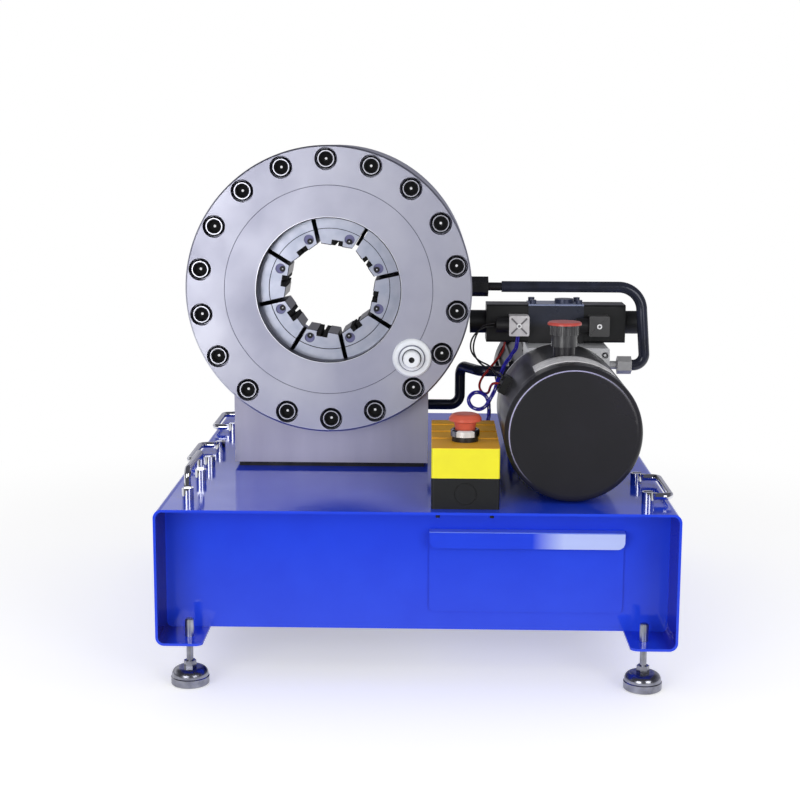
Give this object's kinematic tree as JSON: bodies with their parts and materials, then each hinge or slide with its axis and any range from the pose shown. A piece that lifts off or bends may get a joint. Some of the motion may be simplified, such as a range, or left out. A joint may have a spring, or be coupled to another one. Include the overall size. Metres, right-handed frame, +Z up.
{
  "type": "hose crimping machine",
  "caption": "Bench hose crimping machine: a bolted steel ring head with sector dies and a closing dial on a blue sheet table with oil tank, valve, control box and drawer.",
  "frame": {"origin": "on the floor under the middle of the table", "axes": "+Z up, +Y from the operator's side to the back along the head's bore, +X to the operator's right"},
  "size_m": [0.6, 0.65, 0.6255],
  "materials": {
    "blue_paint": "gloss powder coat",
    "zinc_sheet": "zinc plated",
    "foot_steel": "nickel plated, dark pad",
    "chrome": "polished",
    "black_plastic": "moulded",
    "yellow_plastic": "moulded",
    "red_plastic": "moulded",
    "machined_steel": "turned and ground",
    "black_oxide": "black oxide",
    "seal_rubber": "moulded",
    "silver_aluminium": "turned, satin",
    "pedestal_steel": "milled",
    "die_steel": "ground",
    "black_paint": "satin black",
    "grey_cast_iron": "painted casting",
    "grey_plastic": "moulded",
    "rotor_steel": "machined",
    "tube_black": "phosphated black",
    "blue_cable": "sheathed",
    "black_cable": "sheathed",
    "red_cable": "sheathed"
  },
  "bodies": {
    "machine": {"base_shell": "blue_paint", "front_panel": "blue_paint", "rear_panel": "blue_paint", "drawer_runners": "zinc_sheet", "foot_nuts": "zinc_sheet", "handle_bosses": "chrome", "control_box_base": "black_plastic", "control_box_lid": "yellow_plastic", "estop_collar": "black_plastic", "ring_housing": "machined_steel", "front_cover": "machined_steel", "cover_insert": "machined_steel", "cover_bolts": "black_oxide", "dial_bezel": "silver_aluminium", "head_pedestal": "pedestal_steel", "pedestal_plate": "black_oxide", "oil_tank": "black_paint", "filler_neck": "black_paint", "manifold_block": "silver_aluminium", "valve_body": "grey_cast_iron", "valve_coils": "black_plastic", "coil_plugs": "grey_plastic", "motor_body": "black_paint", "fan_cowl": "black_paint", "unit_brackets": "black_paint", "gear_pump": "silver_aluminium", "terminal_block": "black_plastic", "pressure_tube": "tube_black", "return_tube": "tube_black", "pipe_fittings": "black_oxide", "control_cable": "blue_cable", "coil_lead": "black_cable", "red_lead": "red_cable"},
    "piston": {"annular_piston": "machined_steel", "piston_seals": "seal_rubber"},
    "dial": {"dial_thimble": "silver_aluminium"},
    "stop_rod": {"stop_rod": "machined_steel"},
    "estop_stem": {"estop_stem": "black_plastic"},
    "estop_head": {"estop_head": "red_plastic"},
    "drawer": {"drawer_front": "blue_paint", "drawer_tray": "blue_paint"},
    "filler_cap": {"filler_cap": "black_plastic"},
    "rotor": {"motor_rotor": "rotor_steel"},
    "die_1": {"master_die_1": "die_steel"},
    "die_2": {"master_die_2": "die_steel"},
    "die_3": {"master_die_3": "die_steel"},
    "die_4": {"master_die_4": "die_steel"},
    "die_5": {"master_die_5": "die_steel"},
    "die_6": {"master_die_6": "die_steel"},
    "die_7": {"master_die_7": "die_steel"},
    "die_8": {"master_die_8": "die_steel"},
    "bail_1": {"handle_bail_1": "chrome"},
    "bail_2": {"handle_bail_2": "chrome"},
    "bail_3": {"handle_bail_3": "chrome"},
    "bail_4": {"handle_bail_4": "chrome"},
    "bail_5": {"handle_bail_5": "chrome"},
    "foot_1": {"levelling_foot_1": "foot_steel"},
    "foot_2": {"levelling_foot_2": "foot_steel"},
    "foot_3": {"levelling_foot_3": "foot_steel"},
    "foot_4": {"levelling_foot_4": "foot_steel"}
  },
  "joints": [
    {"name": "piston_slide", "type": "slide", "parent": "machine", "child": "piston", "axis": [0, -1, 0], "range_m": [-0.0223, 0.0241]},
    {"name": "die_1_slide", "type": "slide", "parent": "machine", "child": "die_1", "axis": [0.8141, 0, 0.5807], "range_m": [-0.0065, 0.006]},
    {"name": "die_2_slide", "type": "slide", "parent": "machine", "child": "die_2", "axis": [0.165, 0, 0.9863], "range_m": [-0.0065, 0.006]},
    {"name": "die_3_slide", "type": "slide", "parent": "machine", "child": "die_3", "axis": [-0.5807, 0, 0.8141], "range_m": [-0.0065, 0.006]},
    {"name": "die_4_slide", "type": "slide", "parent": "machine", "child": "die_4", "axis": [-0.9863, 0, 0.165], "range_m": [-0.0065, 0.006]},
    {"name": "die_5_slide", "type": "slide", "parent": "machine", "child": "die_5", "axis": [-0.8141, 0, -0.5807], "range_m": [-0.0065, 0.006]},
    {"name": "die_6_slide", "type": "slide", "parent": "machine", "child": "die_6", "axis": [-0.165, 0, -0.9863], "range_m": [-0.0065, 0.006]},
    {"name": "die_7_slide", "type": "slide", "parent": "machine", "child": "die_7", "axis": [0.5807, 0, -0.8141], "range_m": [-0.0065, 0.006]},
    {"name": "die_8_slide", "type": "slide", "parent": "machine", "child": "die_8", "axis": [0.9863, 0, -0.165], "range_m": [-0.0065, 0.006]},
    {"name": "dial_turn", "type": "hinge", "parent": "machine", "child": "dial", "pos_m": [-0.0085, -0.127, 0.365], "axis": [0, 1, 0], "range_deg": [-2160, 2160]},
    {"name": "stop_rod_slide", "type": "slide", "parent": "machine", "child": "stop_rod", "axis": [0, 1, 0], "range_m": [-0.0181, 0.0181]},
    {"name": "estop_press", "type": "slide", "parent": "machine", "child": "estop_stem", "axis": [0, 0, -1], "range_m": [0, 0.0045], "stiffness_N_per_m": 1000, "springref_m": -0.003},
    {"name": "estop_twist", "type": "hinge", "parent": "estop_stem", "child": "estop_head", "pos_m": [0.0555, -0.262, 0.3], "axis": [0, 0, -1], "range_deg": [0, 45], "stiffness_Nm_per_rad": 0.05, "springref_deg": -2.86},
    {"name": "drawer_slide", "type": "slide", "parent": "machine", "child": "drawer", "axis": [0, -1, 0], "range_m": [0, 0.25]},
    {"name": "filler_cap_turn", "type": "hinge", "parent": "machine", "child": "filler_cap", "pos_m": [0.175, -0.183, 0.4], "axis": [0, 0, 1], "range_deg": [0, 720]},
    {"name": "rotor_spin", "type": "hinge", "parent": "machine", "child": "rotor", "pos_m": [0.18, 0.1, 0.298], "axis": [0, 1, 0], "continuous": true},
    {"name": "bail_1_fold", "type": "hinge", "parent": "machine", "child": "bail_1", "pos_m": [-0.268, -0.27, 0.2245], "axis": [0, -1, 0], "range_deg": [0, 90]},
    {"name": "bail_2_fold", "type": "hinge", "parent": "machine", "child": "bail_2", "pos_m": [-0.268, -0.089, 0.2245], "axis": [0, 1, 0], "range_deg": [0, 90]},
    {"name": "bail_3_fold", "type": "hinge", "parent": "machine", "child": "bail_3", "pos_m": [-0.268, 0.148, 0.2245], "axis": [0, 1, 0], "range_deg": [0, 90]},
    {"name": "bail_4_fold", "type": "hinge", "parent": "machine", "child": "bail_4", "pos_m": [0.268, -0.27, 0.2245], "axis": [0, -1, 0], "range_deg": [0, 90]},
    {"name": "bail_5_fold", "type": "hinge", "parent": "machine", "child": "bail_5", "pos_m": [0.268, 0.148, 0.2245], "axis": [0, -1, 0], "range_deg": [0, 90]},
    {"name": "foot_1_turn", "type": "hinge", "parent": "machine", "child": "foot_1", "pos_m": [-0.265, -0.295, 0.04], "axis": [0, 0, 1], "range_deg": [-720, 720]},
    {"name": "foot_2_turn", "type": "hinge", "parent": "machine", "child": "foot_2", "pos_m": [0.265, -0.295, 0.04], "axis": [0, 0, 1], "range_deg": [-720, 720]},
    {"name": "foot_3_turn", "type": "hinge", "parent": "machine", "child": "foot_3", "pos_m": [0.265, 0.295, 0.04], "axis": [0, 0, 1], "range_deg": [-720, 720]},
    {"name": "foot_4_turn", "type": "hinge", "parent": "machine", "child": "foot_4", "pos_m": [-0.265, 0.295, 0.04], "axis": [0, 0, 1], "range_deg": [-720, 720]}
  ],
  "couplings": [
    {"joint": "die_1_slide", "follows": "piston_slide", "ratio": -0.26795},
    {"joint": "die_2_slide", "follows": "piston_slide", "ratio": -0.26795},
    {"joint": "die_3_slide", "follows": "piston_slide", "ratio": -0.26795},
    {"joint": "die_4_slide", "follows": "piston_slide", "ratio": -0.26795},
    {"joint": "die_5_slide", "follows": "piston_slide", "ratio": -0.26795},
    {"joint": "die_6_slide", "follows": "piston_slide", "ratio": -0.26795},
    {"joint": "die_7_slide", "follows": "piston_slide", "ratio": -0.26795},
    {"joint": "die_8_slide", "follows": "piston_slide", "ratio": -0.26795},
    {"joint": "stop_rod_slide", "follows": "dial_turn", "m_per_rad": 0.00047746}
  ]
}
